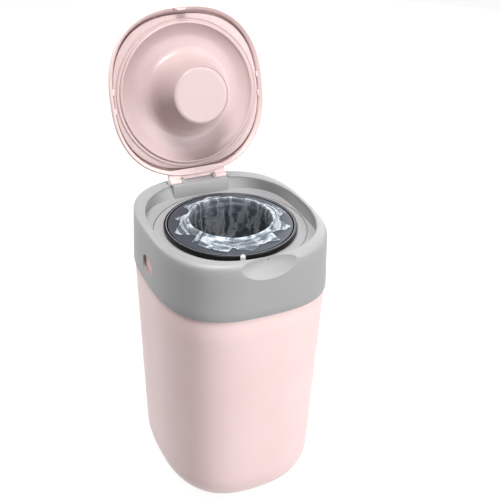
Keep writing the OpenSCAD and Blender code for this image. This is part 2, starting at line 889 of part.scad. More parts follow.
// Radius, height and fold depth down the middle of the sheet
function film_path() = [
    [film_edge_r, cap_z + 0.9, 3.4], [film_edge_r - 7, cap_z + 1.5, 1.8],
    [lip_r + 6, cap_z + 1.3, 0.9], [lip_r + 1.4, cap_z + 0.1, 0.4],
    [film_hole_r + 0.6, cap_z - 3.5, 0.2], [film_hole_r, cap_z - 12, 0.2],
    [film_hole_r - 1, cap_z - 30, 0.5], [film_hole_r - 4, cap_z - 50, 1.1],
    [film_hole_r - 15, cap_z - 66, 1.8], [film_neck_r + 4, carrier_low - 2, 1.6],
    [film_neck_r, carrier_low - gripper_drop, 1], [film_neck_r - 4, film_low + 8, 0.8]];

function film_ring(p, side) = [for (j = [0:film_n - 1])
    let (t = 360 * j / film_n,
         fold = p[2] * (0.6 * cos(7 * t + 3 * p[1]) + 0.4 * cos(11 * t + 40)),
         flat_part = p[1] > cap_z ? 1 : 0,
         r = p[0] + (flat_part > 0 ? fold : fold * 0.8) + (flat_part > 0 ? 0 : side),
         z = p[1] + (flat_part > 0 ? abs(fold) * 0.22 + side : 0))
    [r * cos(t), axis_y + r * sin(t), z]];

module film_liner() {
    path = film_path();
    n = len(path);
    half = film_t / 2;
    color("#e6eef0", 0.85)
        skin(concat(
            [[for (j = [0:film_n - 1]) let (t = 360 * j / film_n)
                [3 * cos(t), axis_y + 3 * sin(t), film_low]]],
            [for (i = [n - 1:-1:0]) film_ring(path[i], i < 4 ? -half : half)],
            [for (i = [0:n - 1]) film_ring(path[i], i < 4 ? half : -half)],
            [[for (j = [0:film_n - 1]) let (t = 360 * j / film_n)
                [2 * cos(t), axis_y + 2 * sin(t), film_low + 6]]]));
}

// Lid, drawn closed and then swung open about the hinge

module swung() {
    translate([0, hinge_y, hinge_z])
        rotate([-lid_open, 0, 0])
            translate([0, -hinge_y, -hinge_z])
                children();
}

function lid_ring(inset, up) =
    at(outline(lid_x - inset, lid_y - inset, lid_square, lid_cy), rim_z + up);
function lid_dome(k, up) =
    at(outline((lid_x - 12) * k, (lid_y - 12) * k, lid_square, lid_cy), rim_z + up);

module lid_solid() {
    skin([lid_ring(1.4, lid_edge_z), lid_ring(0.3, lid_edge_z + 1.2), lid_ring(0, 4),
        lid_ring(0.7, 8), lid_ring(2.8, lid_h - 10), lid_ring(6.6, lid_h - 6.6),
        lid_ring(12, lid_h - 4.2), lid_dome(0.85, lid_h - 2.6), lid_dome(0.5, lid_h - 0.7),
        lid_dome(0.06, lid_h)]);
}

module lid_hollow() {
    t = lid_wall;
    skin([lid_ring(t, lid_edge_z - 1), lid_ring(t, 4), lid_ring(t + 0.7, 8),
        lid_ring(t + 2.4, lid_h - 11.4), lid_ring(t + 5.8, lid_h - 8.6),
        lid_ring(t + 10.2, lid_h - 4.2 - t), lid_dome(0.85, lid_h - 2.6 - t),
        lid_dome(0.5, lid_h - 0.7 - t), lid_dome(0.06, lid_h - t)]);
}

module panel_outline(inset = 0) {
    polygon(outline(panel_x - inset, panel_y - inset, lid_square, lid_cy));
}

// Rib inside the shell, on which the panel's upstand seats
module lid_rib() {
    intersection() {
        lid_solid();
        translate([0, 0, rim_z + rib_z])
            linear_extrude(height = lid_h - rib_z - 1)
                difference() {
                    panel_outline();
                    panel_outline(gutter_wall);
                }
    }
}

// Strip below the lid's rear edge that carries the two hinge arms and closes the gap between them
module lid_hinge_strip() {
    difference() {
        translate([0, 0, rim_z + strip_z])
            linear_extrude(height = strip_t)
                polygon([[-arm_out, strip_y0], [arm_out, strip_y0], [arm_out, strip_y1],
                    [strip_mid, strip_y1], [strip_mid, strip_y2], [-strip_mid, strip_y2],
                    [-strip_mid, strip_y1], [-arm_out, strip_y1]]);
        translate([-0.5, strip_y0 - 1, rim_z + strip_z - 1])
            cube([1, strip_y2 - strip_y0 + 2, 1.8]);
    }
    for (side = [-1, 1])
        translate([side * arm_x - arm_w / 2, hinge_y, hinge_z]) {
            rotate([0, 90, 0])
                cylinder(r = knuckle_r - 0.4, h = arm_w);
            rotate([90, 0, 90])
                linear_extrude(height = arm_w)
                    polygon([[-12, strip_z], [-12, strip_z + 6.5], [-3, strip_z + 4.5],
                        [0, knuckle_r - 0.6], [0, 0], [0.6 - knuckle_r, 1]]);
        }
}

// Hooks on the shell's side walls that hold the panel's edge
module lid_hooks() {
    for (side = [-1, 1])
        for (y = [lid_cy - 12, lid_cy + 14])
            translate([side * (panel_x + 1.5) - 2.5, y - 4, rim_z + panel_z - 1.8])
                cube([5, 8, 1.8]);
}

module lid_shell() {
    color("#f3d9d7")
        swung()
            difference() {
                union() {
                    difference() {
                        lid_solid();
                        lid_hollow();
                    }
                    lid_rib();
                    lid_hinge_strip();
                    lid_hooks();
                }
                for (side = [-1, 1])
                    translate([side * arm_x - arm_w, hinge_y, hinge_z])
                        rotate([0, 90, 0])
                            cylinder(r = pin_r + pin_play, h = 2 * arm_w);
            }
}

module hinge_pins() {
    color("#c4c6c9")
        for (side = [-1, 1])
            translate([side * arm_x - pin_half, hinge_y, hinge_z])
                rotate([0, 90, 0])
                    cylinder(r = pin_r, h = 2 * pin_half);
}

// Catch under the lid's front edge, which hangs in the scoop when the lid is shut
module lid_catch() {
    front = lid_cy - lid_y + lid_wall + catch_seat;
    nib_r = catch_hole_r - 0.4;
    color("#ecd0ce")
        swung() {
            translate([-catch_w / 2, front, rim_z + lid_edge_z])
                cube([catch_w, catch_y - front, 4]);
            hull() {
                translate([-catch_w / 2, catch_y - catch_t, rim_z])
                    cube([catch_w, catch_t, 1]);
                translate([2 - catch_w / 2, catch_y - catch_t, rim_z - catch_drop])
                    cube([catch_w - 4, catch_t, 1]);
            }
            translate([0, catch_y, catch_hole_z])
                rotate([-90, 0, 0])
                    cylinder(r1 = nib_r, r2 = nib_r - 0.6, h = catch_gap - 0.35, $fn = 32);
        }
}

module lid_panel() {
    base_r = plunger_base_r;
    end_r = plunger_end_r;
    color("#efd3d1")
        swung() {
            // rim plate and its upstand
            translate([0, 0, rim_z + panel_z])
                linear_extrude(height = panel_t)
                    difference() {
                        panel_outline();
                        translate([0, ridge_cy]) circle(r = ridge_r + 2);
                    }
            translate([0, 0, rim_z + panel_z + panel_t - eps])
                linear_extrude(height = upstand + eps)
                    difference() {
                        panel_outline();
                        panel_outline(gutter_wall);
                    }
            // ridge, bowl and plunger in one round moulding
            translate([0, ridge_cy, rim_z])
                rotate_extrude()
                    polygon([
                        [seal_x, panel_z], [ridge_r + 1.4, ridge_z + 0.8], [ridge_r, ridge_z],
                        [ridge_r - 1.6, ridge_z + 0.4], [ridge_r - 3, ridge_z + 2.4],
                        [ridge_r - 8, bowl_z - 6], [ridge_r - 16, bowl_z - 2.2],
                        [ridge_r - 25, bowl_z - 0.4], [base_r + 13, bowl_z - 0.2],
                        [base_r + 6, bowl_z - 2.6], [base_r + 1.8, bowl_z - 7],
                        [base_r - 1, bowl_z - 13], [base_r - 3.2, bowl_z - 20],
                        [end_r + 2.4, 5 - plunger_depth], [end_r + 1.2, 1.6 - plunger_depth],
                        [end_r - 2, -plunger_depth], [end_r - 6, -plunger_depth],
                        [end_r - 8, 1 - plunger_depth], [0, 1 - plunger_depth],
                        [0, 3 - plunger_depth], [end_r - 1, 3 - plunger_depth],
                        [end_r + 0.2, 6 - plunger_depth],
                        [base_r - 5.4, bowl_z - 19], [base_r - 3.2, bowl_z - 12],
                        [base_r - 0.4, bowl_z - 5.6], [base_r + 4.6, bowl_z - 0.8],
                        [base_r + 12, bowl_z + 1.8], [ridge_r - 25, bowl_z + 1.6],
                        [ridge_r - 15.4, bowl_z - 0.2], [ridge_r - 6.6, bowl_z - 4.4],
                        [ridge_r - 1.6, panel_z + panel_t], [seal_x, panel_z + panel_t]]);
        }
}

module lid_seal() {
    color("#f0dcda")
        swung()
            translate([0, ridge_cy, rim_z])
                rotate_extrude()
                    polygon([
                        [seal_x, panel_z], [seal_x + 2.7, panel_z],
                        [seal_x + 4, panel_z - 1.6], [seal_x + 3.4, panel_z - 2.2],
                        [seal_x + 2, panel_z - 1.2], [seal_x, panel_z - 1.2]]);
}

tub();
base_pad();
release_tab_left();
release_tab_right();
release_spring_left();
release_spring_right();
collar();
carrier();
carrier_screws();
gripper_fingers();
gripper_clamp();
clamp_screws();
click_pawl();
hinge_pins();
cutter_rail();
cutter_slider();
cutter_blade();
turntable();
turntable_clip_ring();
locating_peg();
cassette_box();
cassette_cap();
film_pack();
film_liner();
lid_shell();
lid_panel();
lid_seal();
lid_catch();
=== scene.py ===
"""Nappy bin with its lid open: smooth mouldings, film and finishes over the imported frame.

Shapes are made in millimetres, in the frame's own axes, and become metres in add_piece.
"""
import math

import bmesh
import bpy
from mathutils import Matrix, Vector, noise


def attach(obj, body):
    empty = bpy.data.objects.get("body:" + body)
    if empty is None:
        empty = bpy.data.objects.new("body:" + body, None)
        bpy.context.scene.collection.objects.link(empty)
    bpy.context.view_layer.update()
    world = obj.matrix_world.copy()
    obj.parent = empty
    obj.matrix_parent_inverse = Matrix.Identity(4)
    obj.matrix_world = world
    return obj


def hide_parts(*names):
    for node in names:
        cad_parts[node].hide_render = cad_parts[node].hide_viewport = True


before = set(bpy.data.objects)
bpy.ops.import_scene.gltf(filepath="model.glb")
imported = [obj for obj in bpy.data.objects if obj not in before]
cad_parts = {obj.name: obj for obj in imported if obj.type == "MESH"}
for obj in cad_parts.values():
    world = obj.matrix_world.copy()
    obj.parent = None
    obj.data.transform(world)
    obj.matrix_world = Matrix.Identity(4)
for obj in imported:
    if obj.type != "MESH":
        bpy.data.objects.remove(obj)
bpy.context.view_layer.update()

MM = 0.001
RING_COUNT = 224

# Sizes shared with the frame
RIM_Z = 414.0
COLLAR = (116.0, 132.5, 2.9)
COLLAR_Z = 334.0
COLLAR_FLARE = 2.2
SHOULDER = 8.0
SHOULDER_Z = RIM_Z - SHOULDER
MOUTH = (107.0, 116.5, 2.4)
MOUTH_Y = -5.0
DECK_Z = 396.0
DECK_UNDER = 391.0
AXIS_Y = -7.7
RECESS_R = 102.6
RECESS_Z = DECK_Z - 2.4
HOLE_R = 96.0
WALL = 2.6
LEDGE_Z = 333.5
NECK_IN = 3.1
NECK_Z = 388.0
BASE = (108.0, 123.0, 2.6)
BASE_ROUND = 57.0
TUB_LOW = 1.0
PAD = (47.3, 61.3, 2.6)
WINDOW_Y = -7.0
WINDOW_Z = 362.5
WINDOW = (17.0, 12.0, 3.0)
HINGE_Y = 110.0
HINGE_Z = 414.0
LID_OPEN = 106.0
LID = (112.0, 116.0, 2.44)
LID_Y = -13.0
RIDGE_Y = -11.5
RIDGE_R = 96.0
PANEL_Z = 6.0
PANEL = (105.5, 105.5, 2.44)
CAP_Z = 403.0
SCOOP_Y = -123.0
SCOOP_SWEEP = 106.0
SCOOP_ARC = 39.0
TAB_FACE = 113.93
TAB_STOP = TAB_FACE - 3.5
POCKET_X = TAB_STOP - 6.9
SHELF_HALF = 41.0
ARM_X = 34.0
ARM_HALF = 8.0
KNUCKLE_R = 4.2
PIN_HOLE_R = 2.05

# Sizes of the finer forms: the foot of the collar's dished wall, the lid's dome and the film
MOUTH_FOOT = (104.0, 105.0, 3.6)
DOME_IN = 12.0
DOME_TOP = 22.0
DOME_UNDER = 19.6
FILM_LOW = CAP_Z + 0.5
LIP_R = 57.5
LIP_Z = 411.6
THROAT_TOP = 409.6
THROAT_LENGTH = 118.0


# Rings

def squared(half_x, half_y, power, height, middle_y=0.0):
    """A squared outline at one height, as a function from an angle to a point."""
    def point(angle):
        across, along = math.cos(angle), math.sin(angle)
        reach = (abs(across / half_x) ** power + abs(along / half_y) ** power) ** (-1 / power)
        return Vector((reach * across, middle_y + reach * along, height))
    return point


def circle(radius, height, middle_y=AXIS_Y):
    return squared(radius, radius, 2.0, height, middle_y)


def centre(height, middle_y=AXIS_Y):
    """The point that closes a skin in the middle."""
    return lambda angle: Vector((0.0, middle_y, height))


def between(first, second, share, height):
    """A ring part of the way from one outline to another."""
    def point(angle):
        place = first(angle).lerp(second(angle), share)
        place.z = height
        return place
    return point


def eased(points, steps=4):
    """A smooth run of points through the given ones."""
    run = []
    last = len(points) - 1
    for i in range(last):
        before, start = Vector(points[max(i - 1, 0)]), Vector(points[i])
        end, after = Vector(points[i + 1]), Vector(points[min(i + 2, last)])
        for k in range(steps):
            t = k / steps
            run.append(0.5 * (2 * start + (end - before) * t
                              + (2 * before - 5 * start + 4 * end - after) * t * t
                              + (3 * start - before - 3 * end + after) * t ** 3))
    run.append(Vector(points[-1]))
    return run


# Making and joining shapes

def loft(rings, count=RING_COUNT, loop=False):
    """A skin through rings: each is extruded from the one before and moved into place."""
    bm = bmesh.new()
    angle = bm.verts.layers.float.new("angle")
    bmesh.ops.create_circle(bm, segments=count, radius=1.0)
    for vert in bm.verts:
        vert[angle] = math.atan2(vert.co.y, vert.co.x)
        vert.co = rings[0](vert[angle])
    first = edges = bm.edges[:]
    for ring in rings[1:]:
        made = bmesh.ops.extrude_edge_only(bm, edges=edges)["geom"]
        verts = {v for v in made if isinstance(v, bmesh.types.BMVert)}
        edges = [e for e in made if isinstance(e, bmesh.types.BMEdge)
                 and e.verts[0] in verts and e.verts[1] in verts]
        for vert in verts:
            vert.co = ring(vert[angle])
    if loop:
        bmesh.ops.bridge_loops(bm, edges=list(first) + edges)
    clean(bm)
    return bm


def clean(bm):
    bmesh.ops.remove_doubles(bm, verts=bm.verts, dist=0.0005)
    bmesh.ops.recalc_face_normals(bm, faces=bm.faces)


def turned(profile, middle_y=AXIS_Y, count=RING_COUNT, low=0.0):
    """A closed profile of (radius, height), spun about the upright axis."""
    bm = bmesh.new()
    line = [bm.verts.new((radius, middle_y, low + height)) for radius, height in profile]
    edges = [bm.edges.new(pair) for pair in zip(line, line[1:] + line[:1])]
    bmesh.ops.spin(bm, geom=line + edges, cent=(0, middle_y, 0), axis=(0, 0, 1),
                   angle=math.tau, steps=count, use_merge=True)
    clean(bm)
    return bm


def block(x, y, z, rounding=0.8, segments=3):
    """A box from (low, high) along each axis, its edges rounded."""
    bm = bmesh.new()
    bmesh.ops.create_cube(bm, size=1.0)
    for vert in bm.verts:
        vert.co = Vector([low + (high - low) * (part + 0.5)
                          for part, (low, high) in zip(vert.co, (x, y, z))])
    if rounding:
        soften(bm, rounding, segments=segments)
    return bm


def rod(x, y, z, radius, rounding=0.4):
    """A round bar along X from x[0] to x[1]."""
    bm = bmesh.new()
    middle = Matrix.Translation(((x[0] + x[1]) / 2, y, z))
    lie = middle @ Matrix.Rotation(math.radians(90), 4, "Y")
    bmesh.ops.create_cone(bm, cap_ends=True, segments=64, radius1=radius, radius2=radius,
                          depth=x[1] - x[0], matrix=lie)
    if rounding:
        soften(bm, rounding)
    return bm


def plate(outline, direction):
    """A flat outline of points, extruded along a direction."""
    bm = bmesh.new()
    face = bm.faces.new([bm.verts.new(point) for point in outline])
    made = bmesh.ops.extrude_face_region(bm, geom=[face])["geom"]
    far = [part for part in made if isinstance(part, bmesh.types.BMVert)]
    bmesh.ops.translate(bm, vec=direction, verts=far)
    clean(bm)
    return bm


def soften(bm, width, angle=32.0, segments=2):
    """Rounds every edge at which the surface turns by more than the angle."""
    edges = [edge for edge in bm.edges
             if edge.is_manifold and edge.calc_face_angle(0.0) > math.radians(angle)]
    bmesh.ops.bevel(bm, geom=edges, offset=width, affect="EDGES", segments=segments,
                    profile=0.5, material=-1, clamp_overlap=True)


def shaped(bm, tools=(), operation="DIFFERENCE", levels=0):
    """The shape after its tools are cut from it or joined to it, or after it is subdivided."""
    scratch = []

    def lay_out(shape):
        mesh = bpy.data.meshes.new("scratch")
        shape.to_mesh(mesh)
        shape.free()
        obj = bpy.data.objects.new("scratch", mesh)
        bpy.context.scene.collection.objects.link(obj)
        scratch.append(obj)
        return obj

    body = lay_out(bm)
    for tool in tools:
        step = body.modifiers.new("step", "BOOLEAN")
        step.operation, step.solver, step.object = operation, "EXACT", lay_out(tool)
    if levels:
        step = body.modifiers.new("smooth", "SUBSURF")
        step.levels = step.render_levels = levels
    result = bmesh.new()
    result.from_object(body, bpy.context.evaluated_depsgraph_get())
    for obj in scratch:
        mesh = obj.data
        bpy.data.objects.remove(obj)
        bpy.data.meshes.remove(mesh)
    return result


def swing_open(bm):
    """Turns a shape drawn on the closed lid to the open lid's place."""
    bmesh.ops.rotate(bm, cent=(0, HINGE_Y, HINGE_Z), verts=bm.verts,
                     matrix=Matrix.Rotation(math.radians(-LID_OPEN), 3, "X"))
    return bm


def add_piece(name, bm, body, material, replaces=(), sharp=32.0):
    """A finished piece of the bin, in metres, on the body that carries it."""
    bmesh.ops.scale(bm, vec=(MM, MM, MM), verts=bm.verts)
    mesh = bpy.data.meshes.new(name)
    bm.to_mesh(mesh)
    bm.free()
    mesh.materials.append(material)
    mesh.shade_smooth()
    if sharp:
        mesh.set_sharp_from_angle(angle=math.radians(sharp))
    obj = bpy.data.objects.new(name, mesh)
    bpy.context.scene.collection.objects.link(obj)
    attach(obj, body)
    if replaces:
        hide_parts(*replaces)
    return obj


# Finishes

def srgb(red, green, blue):
    """A colour as it is seen, from 0 to 255, as the shader wants it."""
    def light(value):
        value /= 255
        return value / 12.92 if value <= 0.04045 else ((value + 0.055) / 1.055) ** 2.4
    return (light(red), light(green), light(blue), 1.0)


def socket(group, name, kind, side="INPUT"):
    return group.interface.new_socket(name=name, in_out=side, socket_type=kind)


def feed(links, target, source):
    """Gives an input either a link or a plain value."""
    if isinstance(source, bpy.types.NodeSocket):
        links.new(source, target)
    else:
        target.default_value = source


def maths(nodes, links, operation, *values, clamp=False):
    """One step of arithmetic on outputs and plain numbers."""
    node = nodes.new("ShaderNodeMath")
    node.operation = operation
    node.use_clamp = clamp
    for target, value in zip(node.inputs, values):
        feed(links, target, value)
    return node.outputs["Value"]


def cloud(nodes, links, place, scale, detail, rough=0.5):
    """A noise over a place."""
    node = nodes.new("ShaderNodeTexNoise")
    for name, value in (("Vector", place), ("Scale", scale), ("Detail", detail), ("Roughness", rough)):
        feed(links, node.inputs[name], value)
    return node.outputs


def stretched(nodes, links, place, scale, turn=(0.0, 0.0, 0.0)):
    """A place scaled along each axis, and turned."""
    node = nodes.new("ShaderNodeMapping")
    node.inputs["Scale"].default_value = scale
    node.inputs["Rotation"].default_value = turn
    links.new(place, node.inputs["Vector"])
    return node.outputs["Vector"]


def spread(nodes, links, source, low, high, start=0.3, stop=0.7, ramp="LINEAR"):
    """A value between start and stop, stretched from low to high."""
    node = nodes.new("ShaderNodeMapRange")
    node.interpolation_type = ramp
    node.inputs["From Min"].default_value = start
    node.inputs["From Max"].default_value = stop
    node.inputs["To Min"].default_value = low
    node.inputs["To Max"].default_value = high
    links.new(source, node.inputs["Value"])
    return node.outputs["Result"]


def blend(nodes, links, kind, share, first, second):
    """Part of the way from the first value, place or colour to the second."""
    node = nodes.new("ShaderNodeMix")
    node.data_type = kind
    for name, value in (("Factor", share), ("A", first), ("B", second)):
        feed(links, node.inputs[name], value)
    return node.outputs["Result"]


def bumped(nodes, links, height, shader, distance, strength=1.0):
    node = nodes.new("ShaderNodeBump")
    node.inputs["Distance"].default_value = distance
    node.inputs["Strength"].default_value = strength
    links.new(height, node.inputs["Height"])
    links.new(node.outputs["Normal"], shader.inputs["Normal"])


def moulded_texture():
    """Masks for moulded plastic: fine spark grain, slow unevenness and faint handling scuffs."""
    group = bpy.data.node_groups.new("moulded_texture", "ShaderNodeTree")
    socket(group, "Place", "NodeSocketVector")
    socket(group, "Grain scale", "NodeSocketFloat")
    socket(group, "Broad scale", "NodeSocketFloat")
    for name in ("Grain", "Broad", "Scuff"):
        socket(group, name, "NodeSocketFloat", "OUTPUT")
    nodes, links = group.nodes, group.links
    given, end = nodes.new("NodeGroupInput").outputs, nodes.new("NodeGroupOutput").inputs
    place = given["Place"]
    grain = cloud(nodes, links, place, given["Grain scale"], 4.0, 0.6)
    broad = cloud(nodes, links, place, given["Broad scale"], 3.0, 0.55)
    along = stretched(nodes, links, place, (1.0, 1.0, 0.12), (0.5, 0.3, 0.9))
    marks = cloud(nodes, links, along, 160.0, 6.0, 0.7)
    scuff = spread(nodes, links, marks["Fac"], 0.0, 1.0, 0.6, 0.78, "SMOOTHSTEP")
    links.new(grain["Fac"], end["Grain"])
    links.new(broad["Fac"], end["Broad"])
    links.new(scuff, end["Scuff"])
    return group


def crease_texture():
    """Soft folds of draped film: long ones down the throat, cross ones where it is gathered outside."""
    group = bpy.data.node_groups.new("crease_texture", "ShaderNodeTree")
    socket(group, "Lie", "NodeSocketVector")
    socket(group, "Streak", "NodeSocketFloat", "OUTPUT")
    nodes, links = group.nodes, group.links
    lie, end = nodes.new("NodeGroupInput").outputs["Lie"], nodes.new("NodeGroupOutput").inputs
    bend = cloud(nodes, links, lie, 2.6, 2.0)
    bent = blend(nodes, links, "VECTOR", 0.15, lie, bend["Color"])
    folds = []
    for scale, width, detail in (((4.7, 4.7, 0.34), 0.13, 1.4), ((2.2, 2.2, 3.6), 0.13, 2.4)):
        waves = cloud(nodes, links, stretched(nodes, links, bent, scale), 1.0, detail, 0.45)
        away = maths(nodes, links, "ABSOLUTE", maths(nodes, links, "SUBTRACT", waves["Fac"], 0.5))
        folds.append(spread(nodes, links, away, 1.0, 0.0, 0.0, width, "SMOOTHERSTEP"))
    long_folds, cross_folds = folds
    parts = nodes.new("ShaderNodeSeparateXYZ")
    links.new(lie, parts.inputs["Vector"])
    within = spread(nodes, links, parts.outputs["Z"], 0.0, 1.0, -0.25, 0.1)
    links.new(blend(nodes, links, "FLOAT", within, cross_folds, long_folds), end["Streak"])
    return group


MOULDED = moulded_texture()
CREASES = crease_texture()


def material(name):
    made = bpy.data.materials.new(name)
    made.use_nodes = True
    nodes, links = made.node_tree.nodes, made.node_tree.links
    return made, nodes, links, nodes["Principled BSDF"]


def moulded_masks(nodes, links, grain_scale, broad_scale):
    """The moulded texture's masks on the piece's own coordinates."""
    where = nodes.new("ShaderNodeTexCoord")
    node = nodes.new("ShaderNodeGroup")
    node.node_tree = MOULDED
    links.new(where.outputs["Object"], node.inputs["Place"])
    node.inputs["Grain scale"].default_value = grain_scale
    node.inputs["Broad scale"].default_value = broad_scale
    return node.outputs


def plastic(name, colour, other, gloss, grain=900.0, depth=0.00006, soft=0.0):
    """Moulded plastic: slow colour drift, grain and scuffs in the gloss, and a fine surface."""
    made, nodes, links, shader = material(name)
    masks = moulded_masks(nodes, links, grain, 9.0)
    drift = spread(nodes, links, masks["Broad"], 0.0, 1.0)
    links.new(blend(nodes, links, "RGBA", drift, colour, other), shader.inputs["Base Color"])
    even = spread(nodes, links, masks["Grain"], *gloss)
    worn = maths(nodes, links, "MULTIPLY_ADD", masks["Scuff"], 0.08, even)
    links.new(worn, shader.inputs["Roughness"])
    bumped(nodes, links, masks["Grain"], shader, depth)
    shader.inputs["IOR"].default_value = 1.48
    if soft:
        shader.inputs["Subsurface Weight"].default_value = soft
        shader.inputs["Subsurface Radius"].default_value = (0.004, 0.0025, 0.002)
        shader.inputs["Subsurface Scale"].default_value = 1.0
    return made


def skirt_finish():
    """Glossy black, with a painted highlight: a pale line that runs round the top of the skirt."""
    made = plastic("black_gloss_plastic", srgb(20, 21, 24), srgb(14, 15, 18), (0.14, 0.22),
                   depth=0.00002)
    nodes, links = made.node_tree.nodes, made.node_tree.links
    shader = nodes["Principled BSDF"]
    shader.inputs["Specular IOR Level"].default_value = 0.16
    where = nodes.new("ShaderNodeTexCoord")
    from_axis = nodes.new("ShaderNodeVectorMath")
    from_axis.operation = "MULTIPLY_ADD"
    from_axis.inputs[1].default_value = (1.0, 1.0, 0.0)
    from_axis.inputs[2].default_value = (0.0, -AXIS_Y * MM, 0.0)
    links.new(where.outputs["Object"], from_axis.inputs[0])
    radius = nodes.new("ShaderNodeVectorMath")
    radius.operation = "LENGTH"
    links.new(from_axis.outputs["Vector"], radius.inputs[0])
    # Painted highlight: a pale ring 0.8 mm wide at radius 85.6 mm, mixed into the black colour.
    painted_highlight_ring = maths(nodes, links, "COMPARE", radius.outputs["Value"], 85.6 * MM, 0.4 * MM)
    black = shader.inputs["Base Color"].links[0].from_socket
    with_painted_highlight = blend(nodes, links, "RGBA", painted_highlight_ring, black, srgb(150, 152, 156))
    links.new(with_painted_highlight, shader.inputs["Base Color"])
    return made


def metal(name, colour, other, gloss):
    made, nodes, links, shader = material(name)
    masks = moulded_masks(nodes, links, 2500.0, 60.0)
    drift = spread(nodes, links, masks["Broad"], 0.0, 1.0)
    links.new(blend(nodes, links, "RGBA", drift, colour, other), shader.inputs["Base Color"])
    links.new(spread(nodes, links, masks["Grain"], *gloss), shader.inputs["Roughness"])
    bumped(nodes, links, masks["Scuff"], shader, 0.00003)
    shader.inputs["Metallic"].default_value = 1.0
    return made


def film_finish():
    """Thin milky film: nearly clear where it lies smooth, white along its folds and edge."""
    made, nodes, links, shader = material("milky_film")
    lie, milk = nodes.new("ShaderNodeAttribute"), nodes.new("ShaderNodeAttribute")
    lie.attribute_name = "lie"
    milk.attribute_name = "milkiness"
    folds = nodes.new("ShaderNodeGroup")
    folds.node_tree = CREASES
    links.new(lie.outputs["Vector"], folds.inputs["Lie"])
    streak = folds.outputs["Streak"]
    tint = blend(nodes, links, "RGBA", streak, srgb(160, 177, 191), srgb(214, 221, 227))
    links.new(tint, shader.inputs["Base Color"])
    links.new(spread(nodes, links, streak, 0.22, 0.4, 0.0, 1.0), shader.inputs["Roughness"])
    gain = maths(nodes, links, "MULTIPLY_ADD", streak, 1.15, 0.72)
    haze = maths(nodes, links, "MULTIPLY", gain, milk.outputs["Fac"], clamp=True)
    links.new(haze, shader.inputs["Alpha"])
    bumped(nodes, links, streak, shader, 0.0007, 0.7)
    shader.inputs["IOR"].default_value = 1.5
    return made


FINISH = {
    "pink_shell": plastic("pink_shell_plastic", srgb(247, 221, 219), srgb(244, 216, 214),
                          (0.36, 0.44), soft=0.06),
    "pink_lid": plastic("pink_lid_plastic", srgb(231, 207, 205), srgb(227, 202, 200),
                        (0.36, 0.44), soft=0.06),
    # Painted shade: the panel's pink is a darker, shaded copy of the lid's pink plastic.
    "pink_panel": plastic("pink_panel_painted_shade_plastic", srgb(197, 176, 175), srgb(193, 171, 170),
                          (0.28, 0.35), soft=0.06),
    "pink_tab": plastic("pink_tab_plastic", srgb(243, 212, 209), srgb(239, 206, 204),
                        (0.32, 0.4), soft=0.06),
    "lid_seal": plastic("seal_rubber", srgb(202, 181, 180), srgb(197, 175, 174), (0.5, 0.6)),
    "grey_shell": plastic("grey_shell_plastic", srgb(164, 164, 165), srgb(159, 159, 160), (0.4, 0.48)),
    "grey_deck": plastic("grey_deck_plastic", srgb(171, 171, 172), srgb(165, 165, 166), (0.44, 0.54),
                         grain=1500.0, depth=0.00012),
    "grey_inner": plastic("grey_inner_plastic", srgb(188, 188, 190), srgb(182, 182, 184), (0.4, 0.5)),
    "natural_plastic": plastic("natural_plastic", srgb(228, 228, 226), srgb(221, 221, 219),
                               (0.35, 0.45), soft=0.1),
    "black_gloss": skirt_finish(),
    "slate": plastic("slate_plastic", srgb(60, 66, 75), srgb(54, 60, 69), (0.34, 0.44)),
    "gripper": plastic("gripper_rubber", srgb(88, 91, 97), srgb(80, 83, 89), (0.55, 0.66), grain=600.0),
    "rubber": plastic("pad_rubber", srgb(142, 142, 144), srgb(132, 132, 134), (0.6, 0.72), grain=500.0),
    "cutter_red": plastic("cutter_red_plastic", srgb(206, 84, 80), srgb(198, 76, 72), (0.32, 0.42)),
    "steel": metal("bright_steel", srgb(196, 198, 202), srgb(180, 183, 188), (0.22, 0.38)),
    "film": film_finish(),
    "packed_film": plastic("packed_film_plastic", srgb(214, 220, 226), srgb(203, 210, 217),
                           (0.4, 0.52), grain=1800.0),
}


# Tub

def collar_half(height):
    share = max(0.0, (SHOULDER_Z - height) / (SHOULDER_Z - COLLAR_Z))
    return COLLAR[0] + COLLAR_FLARE * share, COLLAR[1] + COLLAR_FLARE * share


def collar_ring(height, inset=0.0):
    half_x, half_y = collar_half(height)
    return squared(half_x - inset, half_y - inset, COLLAR[2], height)


def tub_ring(height, inset=0.0, lift=0.0):
    share = (LEDGE_Z - height) / LEDGE_Z
    top = collar_half(COLLAR_Z)
    half = [(top[i] - 1.5) * (1 - share) + BASE[i] * share - inset for i in (0, 1)]
    return squared(half[0], half[1], COLLAR[2] * (1 - share) + BASE[2] * share, height + lift)


def window_bar(grow, x_from, x_to):
    """A bar along X with the side window's outline."""
    def ring(x):
        flat = squared(WINDOW[0] + grow, WINDOW[1] + grow, WINDOW[2], 0.0)
        def point(angle):
            spot = flat(angle)
            return Vector((x, WINDOW_Y + spot.x, WINDOW_Z + spot.y))
        return point
    middle = lambda x: (lambda angle: Vector((x, WINDOW_Y, WINDOW_Z)))
    return loft([middle(x_from), ring(x_from), ring(x_to), middle(x_to)], count=72)


def around_window(x, half_y, half_z):
    """A plain box about the middle of a side window."""
    return block(x, (WINDOW_Y - half_y, WINDOW_Y + half_y), (WINDOW_Z - half_z, WINDOW_Z + half_z), 0)


def base_ring(turn, wall=0.0):
    """One ring of the deep rounding at the floor, on the outside or a wall's thickness within."""
    return tub_ring(TUB_LOW + BASE_ROUND * (1 - math.sin(turn)),
                    0.9 * BASE_ROUND * (1 - math.cos(turn)) + wall * math.cos(turn),
                    wall * math.sin(turn))


